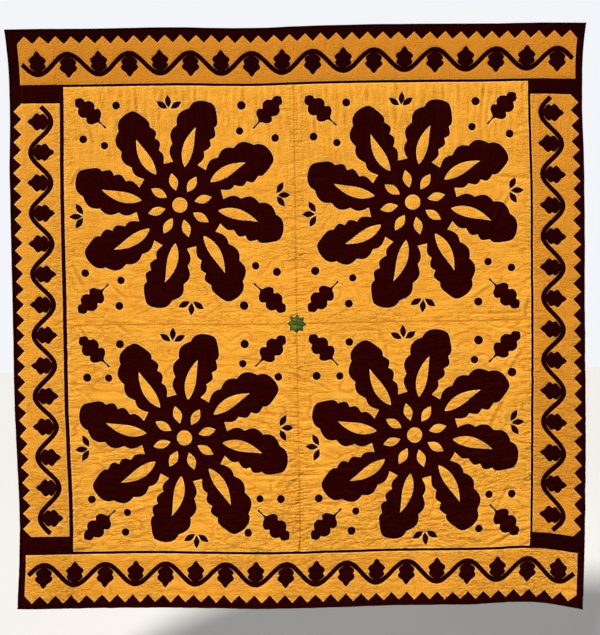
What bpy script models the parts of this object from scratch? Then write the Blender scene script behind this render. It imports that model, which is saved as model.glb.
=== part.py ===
"""A square appliqued bed quilt, hanging flat from its top edge.

Four gold blocks, narrow dark strips and dark borders form the quilted ground. A folded binding
closes the edge. Gold bands, vines, feather wreaths, lobed leaves and a green star are sewn on top.

Every piece is cut out on the flat quilt first: X runs across it, Z is minus the depth below the
top edge, and minus Y is the layer towards the viewer. One function then hangs it. It moves the
corners of an even grid and carries all between them along in flat triangles, so a piece and the
cloth under it share the same facets and stay evenly apart.
"""
import math
import random
from collections import namedtuple

import bmesh
import bpy
import numpy
from mathutils import Vector

# Whole quilt
HALF_WIDTH = 1.120
DROP = 2.2737
CLOTH_THICKNESS = 0.004
PIECE_GAP = 0.0003
COLUMN_PITCH = 0.190
COLUMNS = 12
ROW_PITCH = 0.285
ROWS = 8
SNAP_TO_GRID = 0.0002
FLAT_ANGLE = math.radians(0.01)

# Pieced ground
FIELD_LEFT = -0.909
FIELD_RIGHT = 0.907
FIELD_TOP = 0.229
FIELD_BOTTOM = 2.051
SEAM_ACROSS = -0.009
SEAM_DEPTH = 1.1635
TOP_STRIP = 0.0094
BOTTOM_STRIP = 0.0095
LEFT_STRIP = 0.0145
RIGHT_STRIP = 0.0090

# Binding
BINDING_WIDTH = 0.009
BINDING_CLOTH = 0.001

# Sewn-on pieces
APPLIQUE_THICKNESS = 0.001
STAR_POINTS = 8
STAR_TIP = 0.038
STAR_NOTCH = 0.027
STAR_TURN = math.radians(4)

# Gold bands with their dogtooth edge
BAND_CLEARANCE = 0.001
TOOTH_HEIGHT = 0.030
TEETH_PER_WAVE = 4

# Vine on a band
VINE_WIDTH = 0.018
VINE_RISE = 0.040
VINE_STEPS = 6
VINE_END_MARGIN = 0.012
LEAF_LENGTH = 0.084
LEAF_FOOT = 0.007
LEAF_BROADEST = 0.45
LEAF_HALF_WIDTH = 0.031

# Feather wreath
PLUMES = 8
HUB_RADIUS = 0.165
WREATH_REACH = 0.415
WREATH_TURN = 0.15
PLUME_FILL = 0.345
PLUME_TAPER = 2.0
PLUME_ROUNDNESS = 0.60
PLUME_CURL = 0.20
PLUME_LOBES = 4
LOBE_DEPTH = 0.17
SLIT_START = -0.06
SLIT_END = 0.60
SLIT_BROADEST = 0.42
SLIT_HALF_WIDTH = 0.021
PETAL_START = 0.058
PETAL_END = 0.130
PETAL_HALF_WIDTH = 0.017
HUB_HOLE_RADIUS = 0.030
HUB_HOLE_SIDES = 8
HAND_UNEVENNESS = 0.018
WREATH_TURN_UNEVENNESS = 0.03

# Lobed leaf in a block's corner, with its half width at shares of its length
CORNER_LEAF_LENGTH = 0.165
CORNER_LEAF_INSET = 0.105
CORNER_LEAF_TURN_UNEVENNESS = 0.06
LeafWidth = namedtuple("LeafWidth", "share half_width")
CORNER_LEAF_WIDTHS = (
    LeafWidth(0.00, 0.0035),
    LeafWidth(0.22, 0.0040),
    LeafWidth(0.38, 0.0350),
    LeafWidth(0.50, 0.0250),
    LeafWidth(0.66, 0.0370),
    LeafWidth(0.80, 0.0200),
)

# Side edges as they hang, below the top edge
Section = namedtuple("Section", "depth left right")
SECTIONS = (
    Section(0.000, -1.137, 1.137),
    Section(0.125, -1.124, 1.123),
    Section(0.280, -1.1185, 1.1194),
    Section(0.600, -1.120, 1.1248),
    Section(1.000, -1.115, 1.122),
    Section(1.460, -1.1087, 1.1194),
    Section(2.030, -1.0934, 1.108),
    Section(DROP, -1.1036, 1.096),
)

# Top and bottom edges as they hang, each up or down from its straight line
Edge = namedtuple("Edge", "across top_lift bottom_lift")
EDGES = (
    Edge(-1.12, -0.0030, 0.0082),
    Edge(-0.80, -0.0015, 0.0050),
    Edge(-0.48, 0.0012, 0.0025),
    Edge(-0.14, -0.0045, 0.0005),
    Edge(0.00, 0.0000, 0.0001),
    Edge(0.45, 0.0042, 0.0046),
    Edge(0.70, 0.0035, 0.0066),
    Edge(0.95, 0.0045, 0.0109),
    Edge(1.12, 0.0025, -0.0110),
)

# Soft upright folds, each forward by so much at the top, middle and bottom
Fold = namedtuple("Fold", "across half_width top middle bottom")
FOLDS = (
    Fold(-1.06, 0.26, 0.002, 0.006, 0.011),
    Fold(-0.62, 0.30, 0.001, -0.005, -0.007),
    Fold(-0.14, 0.32, -0.002, 0.005, 0.008),
    Fold(0.40, 0.30, 0.003, -0.004, -0.007),
    Fold(0.86, 0.26, -0.002, 0.006, -0.006),
    Fold(1.14, 0.20, 0.002, 0.001, 0.018),
)

# Gold bands: where each starts and ends along its border, and its dogtooth tips from the edge
Band = namedtuple("Band", "side start end tips inner waves")
BANDS = (
    Band("top", -1.0766, 1.0917, 0.030, FIELD_TOP - TOP_STRIP, 9),
    Band("bottom", -1.0930, 1.0930, 0.0227, DROP - FIELD_BOTTOM - BOTTOM_STRIP, 9),
    Band("left", 0.2928, 1.9900, 0.016, HALF_WIDTH + FIELD_LEFT - LEFT_STRIP, 7),
    Band("right", 0.2794, 1.9980, 0.016, HALF_WIDTH - FIELD_RIGHT - RIGHT_STRIP, 7),
)

# Linear colours, roughness
GOLD = ((0.82, 0.36, 0.035, 1.0), 0.85)
OXBLOOD = ((0.030, 0.001, 0.001, 1.0), 0.85)
GREEN = ((0.05, 0.09, 0.012, 1.0), 0.85)


def clear_scene():
    for thing in list(bpy.data.objects):
        bpy.data.objects.remove(thing, do_unlink=True)


def cloth_material(name, finish):
    colour, roughness = finish
    material = bpy.data.materials.new(name)
    material.use_nodes = True
    shader = material.node_tree.nodes["Principled BSDF"]
    shader.inputs["Base Color"].default_value = colour
    shader.inputs["Roughness"].default_value = roughness
    shader.inputs["Metallic"].default_value = 0.0
    material.diffuse_color = colour
    return material


def read_table(rows, key, value, at):
    """A table's value at one place, on straight lines between its rows."""
    places = [getattr(row, key) for row in rows]
    values = [getattr(row, value) for row in rows]
    return float(numpy.interp(at, places, values))


def fold_forward(across, depth):
    """How far the soft folds bring the cloth forward."""
    forward = 0.0
    for fold in FOLDS:
        distance = abs(across - fold.across) / fold.half_width
        if distance < 1.0:
            swell = 0.5 + 0.5 * math.cos(math.pi * distance)
            amount = numpy.interp(depth, (0.0, DROP / 2, DROP), (fold.top, fold.middle, fold.bottom))
            forward += swell * float(amount)
    return forward


def hung_corner(across, depth):
    """Where one corner of the grid hangs."""
    left = read_table(SECTIONS, "depth", "left", depth)
    right = read_table(SECTIONS, "depth", "right", depth)
    share_across = (across + HALF_WIDTH) / (2 * HALF_WIDTH)
    share_down = depth / DROP
    top_lift = read_table(EDGES, "across", "top_lift", across)
    bottom_lift = read_table(EDGES, "across", "bottom_lift", across)
    lift = top_lift + (bottom_lift - top_lift) * share_down
    return Vector((
        left + (right - left) * share_across,
        -fold_forward(across, depth),
        lift - depth,
    ))


GRID_START = -COLUMN_PITCH * COLUMNS / 2
GRID = [
    [hung_corner(GRID_START + column * COLUMN_PITCH, row * ROW_PITCH) for row in range(ROWS + 1)]
    for column in range(COLUMNS + 1)
]


def hang(point):
    """Carry a point of the flat quilt along with its grid triangle."""
    column_place = (point.x - GRID_START) / COLUMN_PITCH
    row_place = -point.z / ROW_PITCH
    column = min(max(int(column_place), 0), COLUMNS - 1)
    row = min(max(int(row_place), 0), ROWS - 1)
    across = column_place - column
    down = row_place - row
    if across + down <= 1.0:
        corner = GRID[column][row]
        beside = GRID[column + 1][row]
        below = GRID[column][row + 1]
    else:
        corner = GRID[column + 1][row + 1]
        beside = GRID[column][row + 1]
        below = GRID[column + 1][row]
        across = 1.0 - across
        down = 1.0 - down
    hung = corner + (beside - corner) * across + (below - corner) * down
    return hung + Vector((0.0, point.y, 0.0))


def cut_along_grid(mesh):
    """Cut flat faces along the grid's columns, rows and diagonals."""
    lines = []
    for column in range(COLUMNS + 1):
        lines.append((Vector((GRID_START + column * COLUMN_PITCH, 0, 0)), Vector((1, 0, 0))))
    for row in range(ROWS + 1):
        lines.append((Vector((0, 0, -row * ROW_PITCH)), Vector((0, 0, 1))))
    slanting = Vector((1 / COLUMN_PITCH, 0, -1 / ROW_PITCH)).normalized()
    for diagonal in range(1, COLUMNS + ROWS):
        lines.append((Vector((GRID_START + diagonal * COLUMN_PITCH, 0, 0)), slanting))
    for place, direction in lines:
        sides = [(vert.co - place).dot(direction) for vert in mesh.verts]
        if min(sides) < 0.0 < max(sides):
            everything = mesh.verts[:] + mesh.edges[:] + mesh.faces[:]
            bmesh.ops.bisect_plane(
                mesh, geom=everything, dist=SNAP_TO_GRID, plane_co=place, plane_no=direction)


def hang_and_keep(mesh, name, material):
    """Hang a finished flat solid and make it an object."""
    for vert in mesh.verts:
        vert.co = hang(vert.co)
    bmesh.ops.dissolve_limit(mesh, angle_limit=FLAT_ANGLE, verts=mesh.verts[:], edges=mesh.edges[:])
    bmesh.ops.triangulate(mesh, faces=mesh.faces[:])
    bmesh.ops.recalc_face_normals(mesh, faces=mesh.faces[:])
    data = bpy.data.meshes.new(name)
    mesh.to_mesh(data)
    mesh.free()
    data.materials.append(material)
    thing = bpy.data.objects.new(name, data)
    bpy.context.collection.objects.link(thing)
    return thing


def cloth_piece(name, outlines, back, thickness, material):
    """A flat piece cut to its outline and holes, its back at one layer, then hung."""
    mesh = bmesh.new()
    edges = []
    for outline in outlines:
        verts = [mesh.verts.new((across, back, -depth)) for across, depth in outline]
        for index, vert in enumerate(verts):
            edges.append(mesh.edges.new((vert, verts[(index + 1) % len(verts)])))
    bmesh.ops.triangle_fill(mesh, edges=edges, use_beauty=True, normal=(0, -1, 0))
    cut_along_grid(mesh)
    grown = bmesh.ops.extrude_face_region(mesh, geom=mesh.faces[:])
    front = [item for item in grown["geom"] if isinstance(item, bmesh.types.BMVert)]
    bmesh.ops.translate(mesh, verts=front, vec=(0, -thickness, 0))
    return hang_and_keep(mesh, name, material)


def panel(name, left, right, top, bottom, material):
    """A rectangle of quilted ground, half a gap in from its seams."""
    inset = PIECE_GAP / 2
    corners = (
        (left + inset, top + inset),
        (right - inset, top + inset),
        (right - inset, bottom - inset),
        (left + inset, bottom - inset),
    )
    return cloth_piece(name, [corners], CLOTH_THICKNESS / 2, CLOTH_THICKNESS, material)


def turned(point, angle):
    x, y = point
    return (x * math.cos(angle) - y * math.sin(angle), x * math.sin(angle) + y * math.cos(angle))


def moved(points, across, depth, angle=0.0):
    """An outline turned about its own origin and laid on the quilt, its y towards the hem."""
    placed = []
    for point in points:
        x, y = turned(point, angle)
        placed.append((across + x, depth + y))
    return placed


def build_ground(gold, dark):
    inset = BINDING_CLOTH + PIECE_GAP / 2
    left_edge = -HALF_WIDTH + inset
    right_edge = HALF_WIDTH - inset
    top_edge = inset
    bottom_edge = DROP - inset
    strip_left = FIELD_LEFT - LEFT_STRIP
    strip_right = FIELD_RIGHT + RIGHT_STRIP
    strip_top = FIELD_TOP - TOP_STRIP
    strip_bottom = FIELD_BOTTOM + BOTTOM_STRIP
    columns = {"left": (FIELD_LEFT, SEAM_ACROSS), "right": (SEAM_ACROSS, FIELD_RIGHT)}
    rows = {"top": (FIELD_TOP, SEAM_DEPTH), "bottom": (SEAM_DEPTH, FIELD_BOTTOM)}
    for row, (top, bottom) in rows.items():
        for column, (left, right) in columns.items():
            panel(f"field_block_{row}_{column}", left, right, top, bottom, gold)
    panel("strip_top", strip_left, strip_right, strip_top, FIELD_TOP, dark)
    panel("strip_bottom", strip_left, strip_right, FIELD_BOTTOM, strip_bottom, dark)
    panel("strip_left", strip_left, FIELD_LEFT, FIELD_TOP, FIELD_BOTTOM, dark)
    panel("strip_right", FIELD_RIGHT, strip_right, FIELD_TOP, FIELD_BOTTOM, dark)
    panel("border_top", left_edge, right_edge, top_edge, strip_top, dark)
    panel("border_bottom", left_edge, right_edge, strip_bottom, bottom_edge, dark)
    panel("border_left", left_edge, strip_left, strip_top, strip_bottom, dark)
    panel("border_right", strip_right, right_edge, strip_top, strip_bottom, dark)


def binding_section():
    """The folded strip's cut end, as distance in from the edge and layer."""
    inner = CLOTH_THICKNESS / 2 + PIECE_GAP
    outer = inner + BINDING_CLOTH
    return (
        (0.0, -outer),
        (BINDING_WIDTH, -outer),
        (BINDING_WIDTH, -inner),
        (BINDING_CLOTH, -inner),
        (BINDING_CLOTH, inner),
        (BINDING_WIDTH, inner),
        (BINDING_WIDTH, outer),
        (0.0, outer),
    )


def binding(name, start, end, place, material):
    """A binding pushed out along its edge, then cut where the grid crosses it."""
    mesh = bmesh.new()
    section = [mesh.verts.new(place(start, inward, layer)) for inward, layer in binding_section()]
    face = mesh.faces.new(section)
    grown = bmesh.ops.extrude_face_region(mesh, geom=[face])
    far_end = [item for item in grown["geom"] if isinstance(item, bmesh.types.BMVert)]
    length = Vector(place(end, 0.0, 0.0)) - Vector(place(start, 0.0, 0.0))
    bmesh.ops.translate(mesh, verts=far_end, vec=length)
    cut_along_grid(mesh)
    return hang_and_keep(mesh, name, material)


def build_bindings(dark):
    corner = BINDING_WIDTH + PIECE_GAP
    binding("binding_top", -HALF_WIDTH, HALF_WIDTH,
            lambda along, inward, layer: (along, layer, -inward), dark)
    binding("binding_bottom", -HALF_WIDTH, HALF_WIDTH,
            lambda along, inward, layer: (along, layer, inward - DROP), dark)
    binding("binding_left", corner, DROP - corner,
            lambda along, inward, layer: (inward - HALF_WIDTH, layer, -along), dark)
    binding("binding_right", corner, DROP - corner,
            lambda along, inward, layer: (HALF_WIDTH - inward, layer, -along), dark)


def band_place(band):
    """Turns distance along a band and in from the quilt's edge into across and depth."""
    if band.side == "top":
        return lambda along, inward: (along, inward)
    if band.side == "bottom":
        return lambda along, inward: (along, DROP - inward)
    if band.side == "left":
        return lambda along, inward: (inward - HALF_WIDTH, along)
    return lambda along, inward: (HALF_WIDTH - inward, along)


def build_band(band, gold):
    """A gold strip, straight inside and toothed outside."""
    place = band_place(band)
    teeth = band.waves * TEETH_PER_WAVE
    pitch = (band.end - band.start) / teeth
    inner = band.inner - BAND_CLEARANCE
    valley = band.tips + TOOTH_HEIGHT
    outline = [place(band.end, inner), place(band.start, inner), place(band.start, valley)]
    for tooth in range(teeth):
        along = band.start + tooth * pitch
        outline.append(place(along + pitch / 2, band.tips))
        outline.append(place(along + pitch, valley))
    back = -CLOTH_THICKNESS / 2 - PIECE_GAP
    cloth_piece(f"gold_band_{band.side}", [outline], back, APPLIQUE_THICKNESS, gold)


def vine_leaf(along, foot, way):
    """A leaf standing on the vine, its tip away from the foot."""
    broadest = foot + way * LEAF_LENGTH * LEAF_BROADEST
    return [
        (along - LEAF_FOOT, foot),
        (along - LEAF_HALF_WIDTH, broadest),
        (along, foot + way * LEAF_LENGTH),
        (along + LEAF_HALF_WIDTH, broadest),
        (along + LEAF_FOOT, foot),
    ]


def vine_edge(start, wave, waves, middle, way):
    """One edge of the vine, with a leaf in each hollow on its side."""
    points = []
    steps = waves * VINE_STEPS
    for step in range(steps + 1):
        phase = 2 * math.pi * step / VINE_STEPS
        slope = 2 * math.pi * VINE_RISE / wave * math.cos(phase)
        lean = math.atan(slope)
        along = start + step * wave / VINE_STEPS - way * math.sin(lean) * VINE_WIDTH / 2
        inward = middle + VINE_RISE * math.sin(phase) + way * math.cos(lean) * VINE_WIDTH / 2
        points.append((along, inward))
    hollow = 0.75 if way > 0 else 0.25
    for turn in range(waves):
        along = start + (turn + hollow) * wave
        foot = middle - way * (VINE_RISE - VINE_WIDTH / 2)
        leaf = vine_leaf(along, foot, way)
        before = [point for point in points if point[0] < along - LEAF_FOOT]
        after = [point for point in points if point[0] > along + LEAF_FOOT]
        points = before + leaf + after
    return points


def build_vine(band, dark):
    place = band_place(band)
    start = band.start + VINE_END_MARGIN
    wave = (band.end - band.start - 2 * VINE_END_MARGIN) / band.waves
    middle = (band.tips + TOOTH_HEIGHT + band.inner) / 2
    inner_edge = vine_edge(start, wave, band.waves, middle, 1)
    outer_edge = vine_edge(start, wave, band.waves, middle, -1)
    outline = [place(along, inward) for along, inward in inner_edge + outer_edge[::-1]]
    back = -CLOTH_THICKNESS / 2 - 2 * PIECE_GAP - APPLIQUE_THICKNESS
    cloth_piece(f"vine_{band.side}", [outline], back, APPLIQUE_THICKNESS, dark)


def plume_spine(share, reach):
    """A point on the middle line of a plume, which curls as it leaves the hub."""
    radius = HUB_RADIUS + (reach - HUB_RADIUS) * share
    angle = PLUME_CURL * share * abs(share)
    return Vector((radius * math.cos(angle), radius * math.sin(angle)))


def plume_normal(share, reach):
    ahead = plume_spine(share + 0.01, reach) - plume_spine(share - 0.01, reach)
    return Vector((-ahead.y, ahead.x)).normalized()


def plume_half_width(share, reach):
    """Broad at the hub, closing to the tip, scalloped into lobes."""
    radius = plume_spine(share, reach).length
    broad = (1.0 - share ** PLUME_TAPER) ** PLUME_ROUNDNESS
    scallop = 1.0 - LOBE_DEPTH * (1.0 - abs(math.sin(math.pi * PLUME_LOBES * share)))
    return radius * PLUME_FILL * broad * scallop


def plume_edge(reach, side):
    """A plume's edge from hub to tip, in at each notch and out at each lobe."""
    edge = []
    for half_lobe in range(2 * PLUME_LOBES):
        share = half_lobe / (2 * PLUME_LOBES)
        offset = plume_normal(share, reach) * plume_half_width(share, reach) * side
        edge.append(tuple(plume_spine(share, reach) + offset))
    return edge


def plume_slit(reach):
    """A teardrop cut-out along the middle of a plume."""
    wide_share = SLIT_START + (SLIT_END - SLIT_START) * SLIT_BROADEST
    wide = plume_normal(wide_share, reach) * SLIT_HALF_WIDTH
    return [
        tuple(plume_spine(SLIT_START, reach)),
        tuple(plume_spine(wide_share, reach) - wide),
        tuple(plume_spine(SLIT_END, reach)),
        tuple(plume_spine(wide_share, reach) + wide),
    ]


def hub_petal():
    """A lens-shaped cut-out in the hub."""
    middle = (PETAL_START + PETAL_END) / 2
    return [
        (PETAL_START, 0.0),
        (middle, -PETAL_HALF_WIDTH),
        (PETAL_END, 0.0),
        (middle, PETAL_HALF_WIDTH),
    ]


def build_wreath(name, across, depth, turn, chance, dark):
    """Eight curling plumes round a hub, with a cut-out in each and a ring of them in the hub."""
    outline = []
    holes = []
    for plume in range(PLUMES):
        reach = WREATH_REACH * (1.0 + chance.uniform(-HAND_UNEVENNESS, HAND_UNEVENNESS))
        angle = turn + 2 * math.pi * plume / PLUMES
        there = plume_edge(reach, -1)
        back_again = plume_edge(reach, 1)[::-1]
        tip = [tuple(plume_spine(1.0, reach))]
        outline += moved(there + tip + back_again, across, depth, angle)
        holes.append(moved(plume_slit(reach), across, depth, angle))
        holes.append(moved(hub_petal(), across, depth, angle + math.pi / PLUMES))
    hub = []
    for side in range(HUB_HOLE_SIDES):
        angle = 2 * math.pi * side / HUB_HOLE_SIDES
        hub.append((HUB_HOLE_RADIUS * math.cos(angle), HUB_HOLE_RADIUS * math.sin(angle)))
    holes.append(moved(hub, across, depth))
    back = -CLOTH_THICKNESS / 2 - PIECE_GAP
    cloth_piece(name, [outline] + holes, back, APPLIQUE_THICKNESS, dark)


def corner_leaf_outline():
    """A lobed leaf on its stalk, its foot at the origin and its tip along +X."""
    rising = [(row.share * CORNER_LEAF_LENGTH, -row.half_width) for row in CORNER_LEAF_WIDTHS]
    falling = [(x, -y) for x, y in reversed(rising)]
    return rising + [(CORNER_LEAF_LENGTH, 0.0)] + falling


def build_corner_leaf(name, across, depth, angle, chance, dark):
    reach = 1.0 + chance.uniform(-HAND_UNEVENNESS, HAND_UNEVENNESS)
    middle = CORNER_LEAF_LENGTH / 2
    outline = [((x - middle) * reach, y * reach) for x, y in corner_leaf_outline()]
    back = -CLOTH_THICKNESS / 2 - PIECE_GAP
    cloth_piece(name, [moved(outline, across, depth, angle)], back, APPLIQUE_THICKNESS, dark)


def build_block_appliques(dark):
    """A wreath in the middle of each block and a lobed leaf pointing into each corner."""
    chance = random.Random(7)
    rows = {"top": (FIELD_TOP, SEAM_DEPTH), "bottom": (SEAM_DEPTH, FIELD_BOTTOM)}
    columns = {"left": (FIELD_LEFT, SEAM_ACROSS), "right": (SEAM_ACROSS, FIELD_RIGHT)}
    for row, (top, bottom) in rows.items():
        for column, (left, right) in columns.items():
            block = f"{row}_{column}"
            turn = WREATH_TURN + chance.uniform(-WREATH_TURN_UNEVENNESS, WREATH_TURN_UNEVENNESS)
            across = (left + right) / 2
            depth = (top + bottom) / 2
            build_wreath(f"feather_wreath_{block}", across, depth, turn, chance, dark)
            for down, corner_depth in (("upper", top), ("lower", bottom)):
                for side, corner_across in (("left", left), ("right", right)):
                    step_across = math.copysign(CORNER_LEAF_INSET, across - corner_across)
                    step_depth = math.copysign(CORNER_LEAF_INSET, depth - corner_depth)
                    angle = math.atan2(-step_depth, -step_across)
                    angle += chance.uniform(-1, 1) * CORNER_LEAF_TURN_UNEVENNESS
                    build_corner_leaf(
                        f"corner_leaf_{block}_{down}_{side}",
                        corner_across + step_across,
                        corner_depth + step_depth,
                        angle, chance, dark,
                    )


def build_star(green):
    """The green star over the crossing of the seams."""
    outline = []
    for corner in range(2 * STAR_POINTS):
        radius = STAR_TIP if corner % 2 == 0 else STAR_NOTCH
        angle = math.pi * corner / STAR_POINTS
        outline.append((radius * math.cos(angle), radius * math.sin(angle)))
    back = -CLOTH_THICKNESS / 2 - PIECE_GAP
    placed = moved(outline, SEAM_ACROSS, SEAM_DEPTH, STAR_TURN)
    cloth_piece("centre_star", [placed], back, APPLIQUE_THICKNESS, green)


clear_scene()
gold_cotton = cloth_material("gold_cotton", GOLD)
dark_cotton = cloth_material("oxblood_cotton", OXBLOOD)
green_cotton = cloth_material("green_cotton", GREEN)
build_ground(gold_cotton, dark_cotton)
build_bindings(dark_cotton)
for quilt_band in BANDS:
    build_band(quilt_band, gold_cotton)
    build_vine(quilt_band, dark_cotton)
build_block_appliques(dark_cotton)
build_star(green_cotton)
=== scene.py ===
"""The looks of a square appliqued bed quilt, hanging flat from its top edge."""
import math
import random
from collections import namedtuple
from functools import partial

import bmesh
import bpy
import numpy
from mathutils import Matrix, Vector
from mathutils.geometry import delaunay_2d_cdt
from mathutils.kdtree import KDTree


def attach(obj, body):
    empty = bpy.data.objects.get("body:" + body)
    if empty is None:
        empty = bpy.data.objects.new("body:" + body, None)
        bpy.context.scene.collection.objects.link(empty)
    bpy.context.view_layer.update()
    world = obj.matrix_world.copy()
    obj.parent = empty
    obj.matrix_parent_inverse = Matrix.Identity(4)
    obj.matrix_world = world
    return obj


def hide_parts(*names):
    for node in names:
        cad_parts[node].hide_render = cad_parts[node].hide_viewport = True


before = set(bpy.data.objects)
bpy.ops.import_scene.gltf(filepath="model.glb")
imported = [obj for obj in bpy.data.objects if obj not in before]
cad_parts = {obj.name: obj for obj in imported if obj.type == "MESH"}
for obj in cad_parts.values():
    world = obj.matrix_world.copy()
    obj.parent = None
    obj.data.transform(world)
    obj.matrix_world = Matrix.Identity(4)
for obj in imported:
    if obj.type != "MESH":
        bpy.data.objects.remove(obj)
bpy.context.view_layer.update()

# The four gold field blocks, cotton over thin batting, with a plain cotton back.
# They are pieced edge to edge, and meet in one upright and one level seam.
# All cloth is cut flat first: X across, Z minus the depth below the top edge, minus Y forwards.

HALF_WIDTH = 1.120
DROP = 2.2737
FIELD_LEFT = -0.909
FIELD_RIGHT = 0.907
FIELD_TOP = 0.229
FIELD_BOTTOM = 2.051
SEAM_ACROSS = -0.009
SEAM_DEPTH = 1.1635
CLOTH_THICKNESS = 0.004
BLOCK_SPACING = (0.0048, 0.0034)
BACK_SPACING = (0.0115, 0.0115)
SHARP_ANGLE = math.radians(38)

CutPiece = namedtuple("CutPiece", "piece layer")
cut_pieces = []


def keep_flat(mesh, name, layer):
    """Make an object of flat cloth, with a UV map of the flat quilt in metres."""
    data = bpy.data.meshes.new(name)
    mesh.to_mesh(data)
    mesh.free()
    places = numpy.empty(len(data.vertices) * 3, dtype=numpy.float32)
    data.vertices.foreach_get("co", places)
    corners = numpy.empty(len(data.loops), dtype=numpy.int32)
    data.loops.foreach_get("vertex_index", corners)
    flat_map = data.uv_layers.new(name="flat_metres")
    flat_map.uv.foreach_set("vector", places.reshape(-1, 3)[corners][:, (0, 2)].ravel())
    data.shade_smooth()
    piece = bpy.data.objects.new(name, data)
    bpy.context.collection.objects.link(piece)
    cut_pieces.append(CutPiece(piece, layer))
    return piece


def ground_panel(name, cut, spacing, front_cotton):
    """A flat slab of quilt: a fine face, a coarser back and a rim that joins them."""
    mesh = bmesh.new()
    width = cut.right - cut.left
    height = cut.bottom - cut.top
    upright = Matrix.Rotation(math.radians(90), 4, "X") @ Matrix.Diagonal((width / 2, height / 2, 1, 1))
    for layer, step in ((-CLOTH_THICKNESS / 2, spacing), (CLOTH_THICKNESS / 2, BACK_SPACING)):
        centre = Vector(((cut.left + cut.right) / 2, layer, -(cut.top + cut.bottom) / 2))
        bmesh.ops.create_grid(
            mesh, size=1.0, matrix=Matrix.Translation(centre) @ upright,
            x_segments=max(2, round(width / step[0])), y_segments=max(2, round(height / step[1])))
    bmesh.ops.bridge_loops(mesh, edges=[edge for edge in mesh.edges if edge.is_boundary])
    bmesh.ops.recalc_face_normals(mesh, faces=mesh.faces[:])
    for face in mesh.faces:
        face.material_index = 1 if face.calc_center_median().y > 0 else 0
    panel = keep_flat(mesh, name, 0)
    panel.data.materials.append(front_cotton)
    panel.data.materials.append(backing_cotton)
    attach(panel, "root")
    return panel


def math_node(tree, operation, *values):
    """A math node fed by sockets or plain numbers."""
    node = tree.nodes.new("ShaderNodeMath")
    node.operation = operation
    for socket, value in zip(node.inputs, values):
        if isinstance(value, (int, float)):
            socket.default_value = value
        else:
            tree.links.new(value, socket)
    return node.outputs[0]


def with_share(tree, base, value, share):
    """One value with a share of another added to it."""
    return math_node(tree, "MULTIPLY_ADD", value, share, base)


def mix_colour(tree, share, first, second):
    """A colour between two, by a share from 0 to 1."""
    node = tree.nodes.new("ShaderNodeMix")
    node.data_type = "RGBA"
    sockets = (node.inputs["Factor"], node.inputs[6], node.inputs[7])
    for socket, value in zip(sockets, (share, first, second)):
        if isinstance(value, tuple):
            socket.default_value = value
        else:
            tree.links.new(value, socket)
    return node.outputs[2]


def spread(tree, value, low, high):
    """A value stretched to run from 0 at low to 1 at high."""
    node = tree.nodes.new("ShaderNodeMapRange")
    node.inputs["From Min"].default_value = low
    node.inputs["From Max"].default_value = high
    tree.links.new(value, node.inputs["Value"])
    return node.outputs["Result"]


Noise = namedtuple("Noise", "across down detail")
DYE_MOTTLE = Noise(9, 12, 5)
WEFT_SLUBS = Noise(17, 300, 2)
WARP_SLUBS = Noise(300, 17, 2)
LEVEL_CREASES = Noise(38, 90, 1)
UPRIGHT_CREASES = Noise(62, 15, 1)
RUMPLES = Noise(75, 95, 2)
THIN_LEVEL_CREASES = Noise(13, 38, 2)
THIN_UPRIGHT_CREASES = Noise(26, 6, 1)
CREPE = Noise(170, 230, 1)
NOISE_ROUGHNESS = 0.6
THREADS_PER_METRE = 1400
WEAVE_HEIGHT = 0.010
SLUB_HEIGHT = 0.025
RUMPLE_HEIGHT = 0.8
THIN_LEVEL_HEIGHT = 0.13
THIN_LEVEL_BREADTH = 0.035
THIN_UPRIGHT_HEIGHT = 0.10
THIN_UPRIGHT_BREADTH = 0.030
CREPE_HEIGHT = 0.42
CREPE_HEIGHT_WHERE_CREASED = 0.50


def noise_node(tree, place, noise):
    """Noise with so many cells to a metre across and down."""
    mapping = tree.nodes.new("ShaderNodeMapping")
    mapping.inputs["Scale"].default_value = (noise.across, noise.down, 1)
    tree.links.new(place, mapping.inputs["Vector"])
    node = tree.nodes.new("ShaderNodeTexNoise")
    node.inputs["Scale"].default_value = 1.0
    node.inputs["Detail"].default_value = noise.detail
    node.inputs["Roughness"].default_value = NOISE_ROUGHNESS
    tree.links.new(mapping.outputs["Vector"], node.inputs["Vector"])
    return node.outputs["Fac"]


def either_way(tree, place, noise):
    """A noise less its middle value, so that it goes up and down from 0."""
    return math_node(tree, "SUBTRACT", noise_node(tree, place, noise), 0.5)


def thin_creases(tree, place, noise, breadth):
    """Creases along the lines where a noise crosses its middle, 0 in them and 1 away."""
    return spread(tree, math_node(tree, "ABSOLUTE", either_way(tree, place, noise)), 0.0, breadth)


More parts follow.
